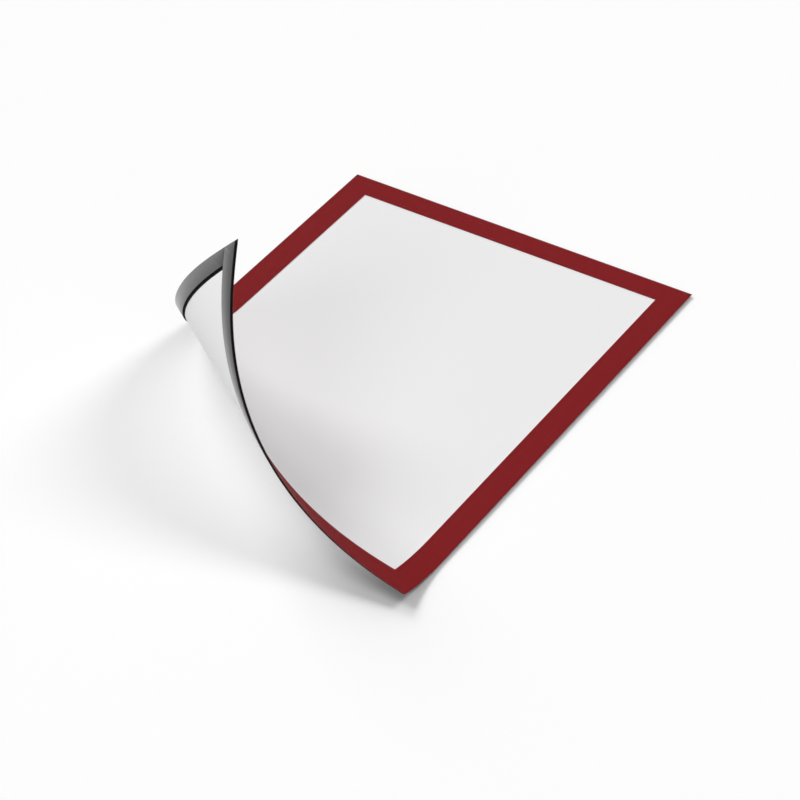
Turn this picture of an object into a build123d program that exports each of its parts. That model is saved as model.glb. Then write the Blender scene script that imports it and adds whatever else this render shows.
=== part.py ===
from build123d import *
import os
from math import atan2, ceil, cos, degrees, radians, sin

os.makedirs("parts", exist_ok=True)

# Magnetic photo frame: a clear film with a coloured border, held to a steel wall by four magnet strips.
# It lies on its back with its lower left corner rolled up, as when the photo behind the film is changed.
# X runs to the right, Y to the top edge, Z out of the front; the origin is in the middle of the back.

# Photo sheet that the frame is made for, loose between the strips (mm)
sheet_width = 210.0
sheet_height = 297.0
sheet_thickness = 0.2
sheet_play = 0.8
sheet_clearance = 0.1
sheet_shift = 0.5

# Frame round the sheet, in layers from the back to the front
strip_width = 11.0
strip_thickness = 1.0
strip_seam = 0.15
tape_inset = 0.5
tape_thickness = 0.1
foil_overlap = 3.0
foil_thickness = 0.15
film_overhang = 1.2
film_thickness = 0.3

# Rolled corner: its bend lines fan out from one point beyond the top left corner (mm and degrees).
# The bend starts gently at the first line, is strongest before halfway and fades to nothing at the tip.
fan_beyond_left = 323.5
fan_above_top = 51.4
first_bend_angle = 30.76
curl_turn = 122.9
curl_lead = 0.25
corner_land = 0.25

# Steps of the fan: from one section to the next, across one loft, and in following the bend
section_step = 0.4
loft_span = 5.0
turn_step = 0.1
fewest_sections = 3

# Levels of the layers above the back
strip_top = strip_thickness
tape_top = strip_top + tape_thickness
foil_top = tape_top + foil_thickness
film_top = foil_top + film_thickness
sheet_top = tape_top - sheet_clearance
sheet_back = sheet_top - sheet_thickness


def inset(rectangle, by):
    """A rectangle drawn in by the same distance all round."""
    x0, y0, x1, y1 = rectangle
    return (x0 + by, y0 + by, x1 - by, y1 - by)


# Rectangles of the layers laid flat: left, bottom, right, top
middle = (-sheet_width / 2, -sheet_height / 2, sheet_width / 2, sheet_height / 2)
photo = (middle[0] + sheet_shift, middle[1], middle[2] + sheet_shift, middle[3])
window = inset(middle, foil_overlap)
recess = inset(middle, -sheet_play)
strips = inset(recess, -strip_width)
outline = inset(strips, -film_overhang)

# The strips of the top and bottom edges run the full width, those of the sides stand between them
strip_places = {
    "top": (strips[0], recess[3], strips[2], strips[3]),
    "bottom": (strips[0], strips[1], strips[2], recess[1]),
    "left": (strips[0], recess[1] + strip_seam, recess[0], recess[3] - strip_seam),
    "right": (recess[2], recess[1] + strip_seam, strips[2], recess[3] - strip_seam),
}

# Point that the bend lines fan out from, between the foil and the film, where the bend keeps lengths
fan_x = outline[0] - fan_beyond_left
fan_y = outline[3] + fan_above_top
fan_point = Vector(fan_x, fan_y, foil_top)


def fan_angle(x, y):
    """Angle of the bend line through a point of the flat sheet, down from the X direction."""
    return degrees(atan2(fan_y - y, x - fan_x))


last_bend_angle = fan_angle(outline[0], outline[1])
fan_spread = last_bend_angle - first_bend_angle
mean_bend = curl_turn / fan_spread


def bend_rate(angle):
    """Degrees of bend in one degree of the fan."""
    share = (angle - first_bend_angle) / fan_spread
    return mean_bend * (1 - share) * (curl_lead + share) / (curl_lead / 2 + 1 / 6)


def bend_plane(angle):
    """Plane square to the sheet through the bend line at an angle: X along the line, Y out of the front."""
    start = radians(first_bend_angle)
    along = Vector(cos(start), -sin(start), 0)
    across = Vector(-sin(start), -cos(start), 0)
    front = Vector(0, 0, 1)
    steps = ceil((angle - first_bend_angle) / turn_step)
    for count in range(steps):
        turn = (angle - first_bend_angle) / steps
        spin = front + along * bend_rate(first_bend_angle + (count + 0.5) * turn)
        cone_axis = Axis((0, 0, 0), spin)
        along = along.rotate(cone_axis, -turn * spin.length)
        across = across.rotate(cone_axis, -turn * spin.length)
        front = front.rotate(cone_axis, -turn * spin.length)
    return Plane(origin=fan_point, x_dir=along, z_dir=across)


def bend_line_ends(rectangle, angle):
    """Distances from the fan point at which a bend line enters and leaves a rectangle."""
    x0, y0, x1, y1 = rectangle
    run = cos(radians(angle))
    fall = sin(radians(angle))
    enter = max((x0 - fan_x) / run, (fan_y - y1) / fall)
    leave = min((x1 - fan_x) / run, (fan_y - y0) / fall)
    return enter, leave


def evenly(begin, end, step):
    """Values from begin to end, both included, no further apart than the step."""
    count = ceil((end - begin) / step)
    return [begin + (end - begin) * index / count for index in range(count + 1)]


def rolled_stretches(rectangle):
    """Fan angles that a rectangle's lofts run between, with a break at each corner that a bend line meets."""
    x0, y0, x1, y1 = rectangle
    corners = sorted(fan_angle(x, y) for x in (x0, x1) for y in (y0, y1))
    land = degrees(corner_land / (Vector(x0, y0) - Vector(fan_x, fan_y)).length)
    corners[0] += land
    corners[-1] -= land
    breaks = [max(corners[0], first_bend_angle)]
    breaks += [angle for angle in corners[1:] if angle > first_bend_angle]
    stretches = []
    for begin, end in zip(breaks, breaks[1:]):
        spans = evenly(begin, end, loft_span)
        stretches += zip(spans, spans[1:])
    return stretches


def rolled_sheet(rectangle, back, front):
    """A rectangle of one layer, flat up to the first bend line and rolled beyond it."""
    x0, y0, x1, y1 = rectangle
    with BuildPart() as sheet:
        if fan_angle(x1, y1) < first_bend_angle:
            with BuildSketch(Plane.XY.offset(back)):
                with Locations(((x0 + x1) / 2, (y0 + y1) / 2)):
                    Rectangle(x1 - x0, y1 - y0)
            extrude(amount=front - back)
            if fan_angle(x0, y0) > first_bend_angle:
                split(bisect_by=bend_plane(first_bend_angle), keep=Keep.BOTTOM)
        for begin, end in rolled_stretches(rectangle):
            step = min(section_step, (end - begin) / (fewest_sections - 1))
            for angle in evenly(begin, end, step):
                enter, leave = bend_line_ends(rectangle, angle)
                with BuildSketch(bend_plane(angle)):
                    with Locations(((enter + leave) / 2, (back + front) / 2 - foil_top)):
                        Rectangle(leave - enter, front - back)
            loft()
    return sheet


# Clear film over the whole front
cover_film = rolled_sheet(outline, foil_top, film_top)
cover_film.part.label = "cover_film"
export_step(cover_film.part, "parts/cover_film.step")

# Coloured border foil on the back of the film, with the window cut out of it
border_blank = rolled_sheet(outline, tape_top, foil_top)
window_cut = rolled_sheet(window, strip_top, film_top)
with BuildPart() as border_foil:
    add(border_blank)
    add(window_cut, mode=Mode.SUBTRACT)
border_foil.part.label = "border_foil"
export_step(border_foil.part, "parts/border_foil.step")

# Magnet strips, each on its own strip of adhesive tape
for side, place in strip_places.items():
    magnet_strip = rolled_sheet(place, 0, strip_top)
    magnet_strip.part.label = f"{side}_magnet_strip"
    export_step(magnet_strip.part, f"parts/{side}_magnet_strip.step")

    adhesive_tape = rolled_sheet(inset(place, tape_inset), strip_top, tape_top)
    adhesive_tape.part.label = f"{side}_adhesive_tape"
    export_step(adhesive_tape.part, f"parts/{side}_adhesive_tape.step")

# Photo sheet in the recess between the strips
photo_sheet = rolled_sheet(photo, sheet_back, sheet_top)
photo_sheet.part.label = "photo_sheet"
export_step(photo_sheet.part, "parts/photo_sheet.step")
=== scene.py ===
import math

import bpy
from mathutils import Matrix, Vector


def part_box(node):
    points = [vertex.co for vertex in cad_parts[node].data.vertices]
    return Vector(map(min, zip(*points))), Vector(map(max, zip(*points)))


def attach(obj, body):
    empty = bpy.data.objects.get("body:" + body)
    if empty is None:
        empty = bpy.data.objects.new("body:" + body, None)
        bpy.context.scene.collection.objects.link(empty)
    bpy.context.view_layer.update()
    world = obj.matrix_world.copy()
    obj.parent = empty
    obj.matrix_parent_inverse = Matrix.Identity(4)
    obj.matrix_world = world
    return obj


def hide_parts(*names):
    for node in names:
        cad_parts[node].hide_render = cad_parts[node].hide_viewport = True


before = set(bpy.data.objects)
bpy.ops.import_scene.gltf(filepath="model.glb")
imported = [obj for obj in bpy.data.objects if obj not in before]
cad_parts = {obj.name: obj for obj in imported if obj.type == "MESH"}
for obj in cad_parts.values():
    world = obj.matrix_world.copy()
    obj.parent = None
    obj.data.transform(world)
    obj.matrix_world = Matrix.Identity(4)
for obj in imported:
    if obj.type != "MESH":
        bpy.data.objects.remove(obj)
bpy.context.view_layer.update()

# Magnetic photo frame, lying face up with its lower left corner rolled up. All lengths are in metres.
# Each layer is modelled flat, given its thickness, cut along the bend lines of the roll and rolled up.

MM = 0.001

# Sizes that the boxes of the rolled nodes don't tell
SHEET_WIDTH = 210 * MM
SHEET_HEIGHT = 297 * MM
PAPER_THICKNESS = 0.20 * MM
FILM_THICKNESS = 0.30 * MM
FOIL_THICKNESS = 0.15 * MM
FOIL_OVERLAP = 3.0 * MM
STRIP_SEAM = 0.15 * MM

# The sheet lies to the right in its recess, and its left edge runs short round the outside of the roll
SHEET_SHIFT = 0.5 * MM
SHEET_DRAWN_IN = 0.75 * MM

# Hair's breadth left between glued layers, so that no two surfaces share a place
GLUE_LINE = 0.01 * MM
STRIP_EDGE_ROUND = 0.12 * MM
EDGE_STEPS = 2
SMOOTH_ANGLE = math.radians(30)

# A face looks sideways where its normal rises or falls by less than this, and back where it falls by more
SIDE_RISE = 0.5

# Roll of the corner: bend lines fan out from one point beyond the top left corner
FAN_BEYOND_LEFT = 323.5 * MM
FAN_ABOVE_TOP = 51.4 * MM
FIRST_BEND = math.radians(30.76)
CURL_TURN = math.radians(122.9)
CURL_LEAD = 0.25
BEND_LINES = 88

# Noise mostly stays between these levels, so colours and roughness are spread over them
NOISE_LOW = 0.3
NOISE_HIGH = 0.7

# Viewing angle of the photograph, in degrees
VIEW_AZIMUTH = 32.07
VIEW_ELEVATION = 38.51
VIEW_DISTANCE = 1.8927
VIEW_AIM = Vector((0.02366, -0.01459, 0.0))
LENS_MM = 149.21
SENSOR_MM = 36.0

# Floor and light. A lamp: its name, azimuth, elevation, share of the floor's light, and softness in degrees
FLOOR_SIZE = 12.0
FLOOR_GAP = 0.2 * MM
FLOOR_BOUNCE = 0.85
ROOM_LIGHT = 0.155
LAMPS = (
    ("back left lamp", 240, 30, 0.28, 24),
    ("left lamp", 270, 45, 0.225, 24),
    ("back right lamp", 150, 45, 0.225, 24),
    ("front lamp", 0, 30, 0.095, 24),
)


# Flat places of the layers (left, bottom, right, top), measured from the top strip, which lies flat

def inset(rectangle, by):
    """A rectangle drawn in by the same distance all round."""
    x0, y0, x1, y1 = rectangle
    return (x0 + by, y0 + by, x1 - by, y1 - by)


film_low, film_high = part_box("cover_film")
foil_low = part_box("border_foil")[0]
paper_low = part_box("photo_sheet")[0]
strip_low, strip_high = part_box("top_magnet_strip")

strip_width = strip_high.y - strip_low.y
strips = (strip_low.x, -strip_high.y, strip_high.x, strip_high.y)
outline = inset(strips, strip_high.y - film_high.y)
recess = inset(strips, strip_width)
middle = (-SHEET_WIDTH / 2, -SHEET_HEIGHT / 2, SHEET_WIDTH / 2, SHEET_HEIGHT / 2)
window = inset(middle, FOIL_OVERLAP)
paper = (middle[0] + SHEET_SHIFT + SHEET_DRAWN_IN, middle[1], middle[2] + SHEET_SHIFT, middle[3])

# The strips of the top and bottom run the full width, those of the sides stand between them
strip_rectangles = {
    "top": (strips[0], recess[3], strips[2], strips[3]),
    "bottom": (strips[0], strips[1], strips[2], recess[1]),
    "left": (strips[0], recess[1] + STRIP_SEAM, recess[0], recess[3] - STRIP_SEAM),
    "right": (recess[2], recess[1] + STRIP_SEAM, strips[2], recess[3] - STRIP_SEAM),
}

# The layers bend between the film and the foil
neutral = film_low.z
fan_point = Vector((outline[0] - FAN_BEYOND_LEFT, outline[3] + FAN_ABOVE_TOP, neutral))


def fan_angle(x, y):
    """Angle of the bend line through a place of the flat sheet, down from the X direction."""
    return math.atan2(fan_point.y - y, x - fan_point.x)


fan_spread = fan_angle(outline[0], outline[1]) - FIRST_BEND
line_step = fan_spread / BEND_LINES


def bend_line(index):
    """Fan angle of a bend line, in the middle of its step."""
    return FIRST_BEND + (index + 0.5) * line_step


def bend_at(index):
    """Angle by which the sheet turns at one bend line."""
    share = (index + 0.5) / BEND_LINES
    return CURL_TURN / BEND_LINES * (1 - share) * (CURL_LEAD + share) / (CURL_LEAD / 2 + 1 / 6)


# Modelling of the sheets

def deselect():
    bpy.ops.object.select_all(action="DESELECT")


def make_active(piece):
    deselect()
    piece.select_set(True)
    bpy.context.view_layer.objects.active = piece


def flat_plane(name, rectangle, level):
    """A flat rectangle at its size and place."""
    x0, y0, x1, y1 = rectangle
    deselect()
    bpy.ops.mesh.primitive_plane_add(size=1, location=((x0 + x1) / 2, (y0 + y1) / 2, level))
    piece = bpy.context.object
    piece.name = name
    piece.data.name = name
    piece.scale = (x1 - x0, y1 - y0, 1)
    bpy.ops.object.transform_apply(location=True, rotation=True, scale=True)
    return piece


def cut_along(point, normal):
    """Adds an edge across the sheet that is being edited."""
    bpy.ops.mesh.select_all(action="SELECT")
    bpy.ops.mesh.bisect(plane_co=point, plane_no=normal)


def cut_opening(piece, opening):
    """Takes a rectangle out of the middle of a flat sheet."""
    x0, y0, x1, y1 = opening
    make_active(piece)
    bpy.ops.object.mode_set(mode="EDIT")
    for x in (x0, x1):
        cut_along((x, 0, 0), (1, 0, 0))
    for y in (y0, y1):
        cut_along((0, y, 0), (0, 1, 0))
    bpy.ops.mesh.select_all(action="DESELECT")
    bpy.ops.object.mode_set(mode="OBJECT")
    for face in piece.data.polygons:
        inside_x = x0 < face.center.x < x1
        inside_y = y0 < face.center.y < y1
        face.select = inside_x and inside_y
    bpy.ops.object.mode_set(mode="EDIT")
    bpy.ops.mesh.delete(type="FACE")
    bpy.ops.object.mode_set(mode="OBJECT")


def apply_modifier(piece, kind, **settings):
    make_active(piece)
    modifier = piece.modifiers.new(kind.lower(), kind)
    for setting, value in settings.items():
        setattr(modifier, setting, value)
    bpy.ops.object.modifier_apply(modifier=modifier.name)


def cut_bend_lines(piece):
    """Adds an edge along each bend line, and one in the flat part just before them."""
    make_active(piece)
    bpy.ops.object.mode_set(mode="EDIT")
    for index in range(-1, BEND_LINES):
        angle = bend_line(index)
        cut_along(fan_point, (math.sin(angle), math.cos(angle), 0))
    bpy.ops.object.mode_set(mode="OBJECT")


def keep_flat_places(piece):
    """Writes each corner's place on the flat sheet, in metres, to the piece's UV map."""
    places = piece.data.uv_layers.new(name="flat_place")
    for loop in piece.data.loops:
        place = piece.data.vertices[loop.vertex_index].co
        places.data[loop.index].uv = (place.x, place.y)


def turn(angle, axis):
    """Turns what is selected about the fan point."""
    bpy.ops.transform.rotate(value=angle, orient_axis=axis, center_override=fan_point)


def roll_up(piece):
    """Brings each bend line along X in turn, from the tip inwards, and tips up what lies beyond it."""
    make_active(piece)
    vertices = piece.data.vertices
    places = [fan_angle(vertex.co.x, vertex.co.y) for vertex in vertices]
    bpy.ops.object.mode_set(mode="EDIT")
    bpy.ops.mesh.select_mode(type="VERT")
    bpy.ops.mesh.select_all(action="SELECT")
    turn(-bend_line(BEND_LINES - 1), "Z")
    for index in reversed(range(BEND_LINES)):
        bpy.ops.mesh.select_all(action="DESELECT")
        bpy.ops.object.mode_set(mode="OBJECT")
        limit = bend_line(index) + line_step / 4
        beyond = [place > limit for place in places]
        vertices.foreach_set("select", beyond)
        bpy.ops.object.mode_set(mode="EDIT")
        if any(beyond):
            turn(bend_at(index), "X")
        bpy.ops.mesh.select_all(action="SELECT")
        turn(line_step if index else bend_line(0), "Z")
    bpy.ops.object.mode_set(mode="OBJECT")


def looks_sideways(normal):
    return abs(normal.z) < SIDE_RISE


def looks_back(normal):
    return normal.z < -SIDE_RISE


def rolled_layer(name, rectangle, back, front, opening=None, edge_round=0, second_finish=None):
    """A rectangular layer of the frame between two levels, flat and then rolled up."""
    piece = flat_plane(name, rectangle, back)
    if opening:
        cut_opening(piece, opening)
    apply_modifier(piece, "SOLIDIFY", thickness=front - back, offset=1)
    if edge_round:
        apply_modifier(piece, "BEVEL", width=edge_round, segments=EDGE_STEPS, limit_method="ANGLE")
    cut_bend_lines(piece)
    keep_flat_places(piece)
    for face in piece.data.polygons:
        face.material_index = 1 if second_finish and second_finish(face.normal) else 0
    roll_up(piece)
    make_active(piece)
    bpy.ops.object.shade_smooth_by_angle(angle=SMOOTH_ANGLE)
    return piece


def stand_for(piece, body, node, slot, *materials):
    """Lets a piece move with its body, hides the node that it stands for and gives it its finish."""
    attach(piece, body)
    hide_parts(node)
    for material in materials:
        piece.data.materials.append(material)


# Materials

def finish_nodes(name, colour, roughness, specular=0.5):
    """A material with its even values on the shader, and its nodes for patterns."""
    material = bpy.data.materials.new(name)
    material.use_nodes = True
    tree = material.node_tree
    shader = tree.nodes["Principled BSDF"]
    shader.inputs["Base Color"].default_value = (*colour, 1)
    shader.inputs["Roughness"].default_value = roughness
    shader.inputs["Specular IOR Level"].default_value = specular
    return material, tree, shader


def flat_pattern(tree, per_metre_x, per_metre_y, detail, source="UV"):
    """Noise on the flat sheet, with so many spots to the metre along its axes."""
    place = tree.nodes.new("ShaderNodeTexCoord")
    mapping = tree.nodes.new("ShaderNodeMapping")
    mapping.inputs["Scale"].default_value = (per_metre_x, per_metre_y, per_metre_x)
    noise = tree.nodes.new("ShaderNodeTexNoise")
    noise.inputs["Scale"].default_value = 1.0
    noise.inputs["Detail"].default_value = detail
    tree.links.new(place.outputs[source], mapping.inputs["Vector"])
    tree.links.new(mapping.outputs["Vector"], noise.inputs["Vector"])
    return noise.outputs["Fac"]


def even_pattern(tree, per_metre, detail, source="UV"):
    """Noise that is the same along both axes of the sheet."""
    return flat_pattern(tree, per_metre, per_metre, detail, source)


def vary_colour(tree, shader, pattern, dark, light):
    """Lets the colour go from dark to light with a pattern."""
    ramp = tree.nodes.new("ShaderNodeValToRGB")
    ramp.color_ramp.elements[0].position = NOISE_LOW
    ramp.color_ramp.elements[0].color = (*dark, 1)
    ramp.color_ramp.elements[1].position = NOISE_HIGH
    ramp.color_ramp.elements[1].color = (*light, 1)
    tree.links.new(pattern, ramp.inputs["Fac"])
    tree.links.new(ramp.outputs["Color"], shader.inputs["Base Color"])


def vary_roughness(tree, shader, pattern, low, high):
    """Lets the roughness go from low to high with a pattern."""
    spread = tree.nodes.new("ShaderNodeMapRange")
    spread.inputs["From Min"].default_value = NOISE_LOW
    spread.inputs["From Max"].default_value = NOISE_HIGH
    spread.inputs["To Min"].default_value = low
    spread.inputs["To Max"].default_value = high
    tree.links.new(pattern, spread.inputs["Value"])
    tree.links.new(spread.outputs["Result"], shader.inputs["Roughness"])


def raise_grain(tree, shader, pattern, height, strength):
    """Fine relief with a height in metres."""
    bump = tree.nodes.new("ShaderNodeBump")
    bump.inputs["Distance"].default_value = height
    bump.inputs["Strength"].default_value = strength
    tree.links.new(pattern, bump.inputs["Height"])
    tree.links.new(bump.outputs["Normal"], shader.inputs["Normal"])


def make_clear_film():
    material, tree, shader = finish_nodes(
        "clear satin film", colour=(0.08, 0.08, 0.08), roughness=0.3, specular=0.3
    )
    shader.inputs["Alpha"].default_value = 0.012
    haze = even_pattern(tree, per_metre=45, detail=3)
    grain = even_pattern(tree, per_metre=1800, detail=2)
    vary_roughness(tree, shader, haze, low=0.22, high=0.38)
    raise_grain(tree, shader, grain, height=0.010 * MM, strength=0.3)
    return material


def make_film_edge():
    material, tree, shader = finish_nodes("clear film cut edge", colour=(0.45, 0.45, 0.46), roughness=0.35)
    shader.inputs["Alpha"].default_value = 0.1
    marks = even_pattern(tree, per_metre=900, detail=2)
    vary_colour(tree, shader, marks, dark=(0.36, 0.36, 0.37), light=(0.52, 0.52, 0.53))
    return material


def make_red_foil():
    material, tree, shader = finish_nodes(
        "red foil", colour=(0.213, 0.011, 0.0135), roughness=0.5, specular=0.02
    )
    mottle = even_pattern(tree, per_metre=260, detail=5)
    satin = even_pattern(tree, per_metre=90, detail=3)
    grain = even_pattern(tree, per_metre=2600, detail=2)
    vary_colour(tree, shader, mottle, dark=(0.204, 0.0100, 0.0125), light=(0.222, 0.0120, 0.0145))
    vary_roughness(tree, shader, satin, low=0.44, high=0.56)
    raise_grain(tree, shader, grain, height=0.006 * MM, strength=0.4)
    return material


def make_foil_back_painted_shade():
    # Near black, so that the foil's back seen in the gap beside the strips and under the film's overhang
    # reads as shade: painted shade.
    material, tree, shader = finish_nodes(
        "foil back with painted shade", colour=(0.006, 0.006, 0.006), roughness=0.6, specular=0.08
    )
    mottle = even_pattern(tree, per_metre=500, detail=4)
    grain = even_pattern(tree, per_metre=2600, detail=2)
    vary_colour(tree, shader, mottle, dark=(0.004, 0.004, 0.004), light=(0.008, 0.008, 0.008))
    raise_grain(tree, shader, grain, height=0.006 * MM, strength=0.4)
    return material


def make_magnet_rubber(name, along_x):
    """Calendered magnetic rubber: a fine grain, a dusty sheen, and faint streaks along the strip."""
    material, tree, shader = finish_nodes(name, colour=(0.036, 0.036, 0.036), roughness=0.32, specular=0.35)
    shader.inputs["Sheen Weight"].default_value = 0.35
    shader.inputs["Sheen Roughness"].default_value = 0.4
    across, along = 1500, 25
    per_metre_x, per_metre_y = (along, across) if along_x else (across, along)
    streaks = flat_pattern(tree, per_metre_x, per_metre_y, detail=3)
    satin = even_pattern(tree, per_metre=700, detail=4)
    grain = even_pattern(tree, per_metre=3200, detail=3)
    vary_colour(tree, shader, streaks, dark=(0.031, 0.031, 0.032), light=(0.043, 0.043, 0.044))
    vary_roughness(tree, shader, satin, low=0.26, high=0.38)
    raise_grain(tree, shader, grain, height=0.020 * MM, strength=0.5)
    return material


def make_rubber_side_painted_shade():
    """Cut sides of the strips, near black and duller than the face: painted shade for the shaded walls of
    the strips.
    """
    material, tree, shader = finish_nodes(
        "magnet rubber side with painted shade", colour=(0.008, 0.008, 0.008), roughness=0.7, specular=0.15
    )
    mottle = even_pattern(tree, per_metre=1200, detail=3)
    grain = even_pattern(tree, per_metre=4200, detail=3)
    vary_colour(tree, shader, mottle, dark=(0.005, 0.005, 0.005), light=(0.012, 0.012, 0.012))
    raise_grain(tree, shader, grain, height=0.020 * MM, strength=0.6)
    return material


def make_photo_paper():
    material, tree, shader = finish_nodes(
        "white photo paper", colour=(0.88, 0.87, 0.874), roughness=0.6, specular=0.1
    )
    fibres = even_pattern(tree, per_metre=420, detail=6)
    grain = flat_pattern(tree, per_metre_x=3000, per_metre_y=1800, detail=4)
    vary_colour(tree, shader, fibres, dark=(0.868, 0.858, 0.862), light=(0.890, 0.880, 0.884))
    raise_grain(tree, shader, grain, height=0.008 * MM, strength=0.35)
    return material


def make_adhesive():
    material, tree, shader = finish_nodes("transfer adhesive", colour=(0.30, 0.29, 0.27), roughness=0.35)
    spread = even_pattern(tree, per_metre=600, detail=3, source="Object")
    vary_colour(tree, shader, spread, dark=(0.26, 0.25, 0.23), light=(0.34, 0.33, 0.31))
    vary_roughness(tree, shader, spread, low=0.28, high=0.44)
    return material


clear_film = make_clear_film()
film_edge = make_film_edge()
red_foil = make_red_foil()
foil_back_painted_shade = make_foil_back_painted_shade()
rubber_along_x = make_magnet_rubber("magnet rubber of the top and bottom", along_x=True)
rubber_along_y = make_magnet_rubber("magnet rubber of the sides", along_x=False)
rubber_side_painted_shade = make_rubber_side_painted_shade()
photo_paper = make_photo_paper()
adhesive = make_adhesive()


# Pieces of the frame

film = rolled_layer(
    "clear_cover_film",
    outline,
    film_low.z,
    film_low.z + FILM_THICKNESS,
    second_finish=looks_sideways,
)
stand_for(film, "frame", "cover_film", "clear_film", clear_film, film_edge)

# The foil's back faces get the near black finish, which is painted shade in the gap beside the strips and
# under the overhang.
foil = rolled_layer(
    "red_border_foil",
    outline,
    foil_low.z + GLUE_LINE,
    foil_low.z + FOIL_THICKNESS - GLUE_LINE,
    opening=window,
    second_finish=looks_back,
)
stand_for(foil, "frame", "border_foil", "red_foil", red_foil, foil_back_painted_shade)

# The strips' sideways faces get the near black cut-side finish, which is painted shade on their walls.
for side, rectangle in strip_rectangles.items():
    strip = rolled_layer(
        f"{side}_magnet_rubber",
        rectangle,
        strip_low.z,
        strip_high.z,
        edge_round=STRIP_EDGE_ROUND,
        second_finish=looks_sideways,
    )
    rubber = rubber_along_x if side in ("top", "bottom") else rubber_along_y
    stand_for(strip, "frame", f"{side}_magnet_strip", "magnet_rubber", rubber, rubber_side_painted_shade)
    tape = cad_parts[f"{side}_adhesive_tape"]
    tape.data.materials.clear()
    tape.data.materials.append(adhesive)

photo = rolled_layer("blank_photo_paper", paper, paper_low.z, paper_low.z + PAPER_THICKNESS)
stand_for(photo, "photo", "photo_sheet", "photo_paper", photo_paper)


# Floor, light and camera

def make_floor_white():
    """White to the eye and in reflections, and a little darker where its light falls back on the frame."""
    material, tree, shader = finish_nodes("white floor", colour=(1, 1, 1), roughness=1.0, specular=0.0)
    rays = tree.nodes.new("ShaderNodeLightPath")
    darker = tree.nodes.new("ShaderNodeMix")
    darker.data_type = "RGBA"
    darker.inputs["A"].default_value = (1, 1, 1, 1)
    darker.inputs["B"].default_value = (FLOOR_BOUNCE, FLOOR_BOUNCE, FLOOR_BOUNCE, 1)
    tree.links.new(rays.outputs["Is Diffuse Ray"], darker.inputs["Factor"])
    tree.links.new(darker.outputs["Result"], shader.inputs["Base Color"])
    return material


def make_room():
    """White to the eye, in reflections and through clear layers, with a little soft light of its own."""
    room = bpy.data.worlds.new("soft white room")
    room.use_nodes = True
    tree = room.node_tree
    background = tree.nodes["Background"]
    background.inputs["Color"].default_value = (1, 1, 1, 1)
    rays = tree.nodes.new("ShaderNodeLightPath")
    level = tree.nodes.new("ShaderNodeMix")
    level.inputs["A"].default_value = ROOM_LIGHT
    level.inputs["B"].default_value = 1.0
    seen = rays.outputs["Is Camera Ray"]
    for kind in ("Is Glossy Ray", "Is Transmission Ray"):
        either = tree.nodes.new("ShaderNodeMath")
        either.operation = "MAXIMUM"
        tree.links.new(seen, either.inputs[0])
        tree.links.new(rays.outputs[kind], either.inputs[1])
        seen = either.outputs["Value"]
    tree.links.new(seen, level.inputs["Factor"])
    tree.links.new(level.outputs["Result"], background.inputs["Strength"])
    return room


def toward(azimuth, elevation):
    """Direction from the frame: azimuth 0 is the front of the lower edge, 90 the right."""
    level = math.cos(math.radians(elevation))
    return Vector((
        math.sin(math.radians(azimuth)) * level,
        -math.cos(math.radians(azimuth)) * level,
        math.sin(math.radians(elevation)),
    ))


deselect()
bpy.ops.mesh.primitive_plane_add(size=FLOOR_SIZE, location=(0, 0, -FLOOR_GAP))
floor = bpy.context.object
floor.name = "floor"
floor.data.materials.append(make_floor_white())

scene = bpy.context.scene
scene.world = make_room()

for name, azimuth, elevation, floor_level, softness in LAMPS:
    lamp = bpy.data.lights.new(name, "SUN")
    lamp.energy = floor_level * math.pi / math.sin(math.radians(elevation))
    lamp.angle = math.radians(softness)
    lamp_object = bpy.data.objects.new(name, lamp)
    lamp_object.rotation_euler = toward(azimuth, elevation).to_track_quat("Z", "Y").to_euler()
    scene.collection.objects.link(lamp_object)

direction = toward(VIEW_AZIMUTH, VIEW_ELEVATION)
camera_data = bpy.data.cameras.new("camera")
camera_data.lens = LENS_MM
camera_data.sensor_width = SENSOR_MM
camera = bpy.data.objects.new("camera", camera_data)
camera.location = VIEW_AIM + direction * VIEW_DISTANCE
camera.rotation_euler = (-direction).to_track_quat("-Z", "Y").to_euler()
scene.collection.objects.link(camera)
scene.camera = camera
scene.view_settings.view_transform = "Standard"
